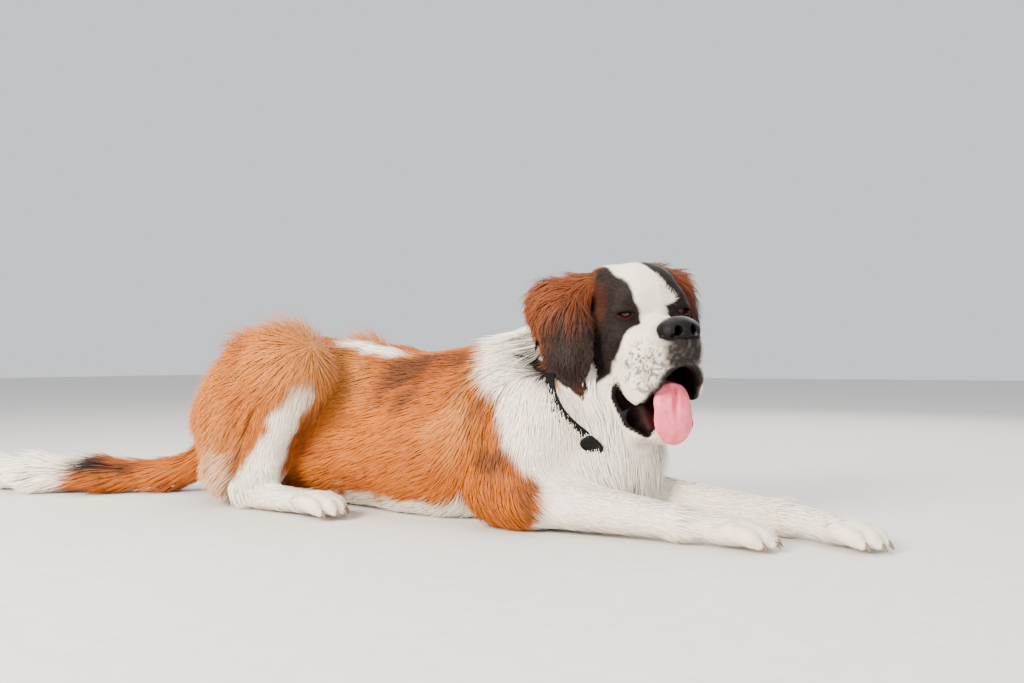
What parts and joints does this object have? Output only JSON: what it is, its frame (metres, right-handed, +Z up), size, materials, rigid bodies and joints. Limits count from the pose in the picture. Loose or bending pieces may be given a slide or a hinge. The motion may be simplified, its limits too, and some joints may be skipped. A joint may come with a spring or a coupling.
{
  "type": "saint bernard dog",
  "caption": "Life-size still model of a large long-coated dog lying on its chest with its head up and turned, mouth open and tongue out, wearing a dark collar.",
  "frame": {"origin": "on the floor under the middle of the chest, at the flat that the chest lies on", "axes": "+X along the body towards the forefeet, +Y to the dog's left, +Z up"},
  "size_m": [2.0736, 0.5109, 0.4939],
  "materials": {
    "coat_orange": "soft",
    "coat_white": "soft",
    "nose_leather": "moist",
    "tongue": "wet",
    "eye": "wet",
    "strap": "woven",
    "tab": "matt"
  },
  "bodies": {
    "root": {"head": "coat_white", "nose": "nose_leather", "lower_jaw": "coat_white", "tongue": "tongue", "eye_right": "eye", "eye_left": "eye", "ear_right": "coat_orange", "ear_left": "coat_orange", "neck": "coat_white", "chest": "coat_orange", "loin": "coat_orange", "foreleg_right": "coat_white", "foreleg_left": "coat_white", "thigh_right": "coat_orange", "thigh_left": "coat_orange", "hindfoot_right": "coat_white", "hindfoot_left": "coat_white", "tail_root": "coat_orange", "tail_middle": "coat_orange", "tail_tip": "coat_white", "collar": "strap", "collar_tab": "tab"}
  },
  "joints": []
}
